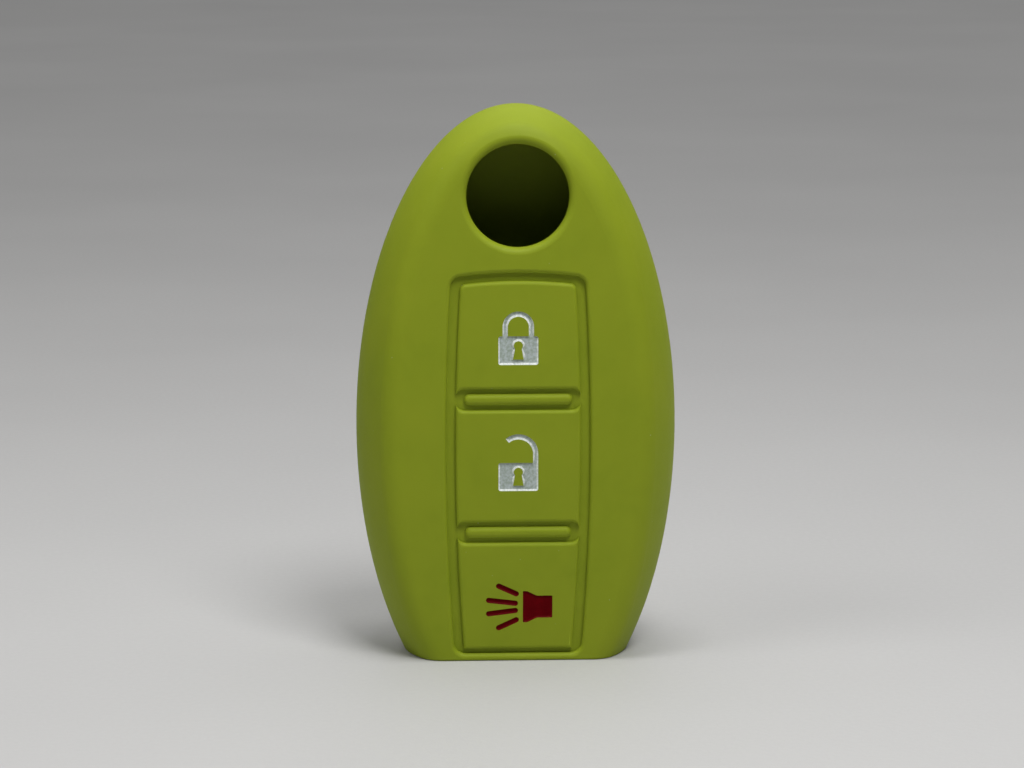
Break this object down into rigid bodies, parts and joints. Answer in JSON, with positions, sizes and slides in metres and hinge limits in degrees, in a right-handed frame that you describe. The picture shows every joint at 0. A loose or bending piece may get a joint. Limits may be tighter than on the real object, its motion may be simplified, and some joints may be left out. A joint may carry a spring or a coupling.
{
  "type": "key fob cover",
  "caption": "Oval slip-on silicone cover for a car key fob, with a round window, raised pressing pads with inlaid symbols, divider ribs and an open mouth.",
  "frame": {"origin": "middle of the outline's box in the mouth plane, on which the cover stands", "axes": "+X to the right of the front face, +Y from the front face to the back, +Z from the mouth to the rounded crest"},
  "size_m": [0.044, 0.018, 0.076],
  "materials": {
    "lime_silicone": "matte moulded silicone rubber with a soft sheen",
    "white_inlay": "matte white silicone inlay",
    "red_inlay": "matte dark red silicone inlay"
  },
  "bodies": {
    "sleeve": {"sleeve": "lime_silicone", "lock_web": "lime_silicone", "unlock_web": "lime_silicone", "horn_web": "lime_silicone", "upper_rib": "lime_silicone", "lower_rib": "lime_silicone"},
    "lock_pad": {"lock_pad": "lime_silicone", "lock_symbol": "white_inlay"},
    "unlock_pad": {"unlock_pad": "lime_silicone", "unlock_symbol": "white_inlay"},
    "horn_pad": {"horn_pad": "lime_silicone", "horn_symbol": "red_inlay", "horn_rays": "red_inlay"}
  },
  "joints": [
    {"name": "lock_press", "type": "slide", "parent": "sleeve", "child": "lock_pad", "axis": [0, 1, 0], "range_m": [0, 0.0008], "stiffness_N_per_m": 800, "deforming": ["lock_web"]},
    {"name": "unlock_press", "type": "slide", "parent": "sleeve", "child": "unlock_pad", "axis": [0, 1, 0], "range_m": [0, 0.0008], "stiffness_N_per_m": 800, "deforming": ["unlock_web"]},
    {"name": "horn_press", "type": "slide", "parent": "sleeve", "child": "horn_pad", "axis": [0, 1, 0], "range_m": [0, 0.0008], "stiffness_N_per_m": 800, "deforming": ["horn_web"]}
  ]
}
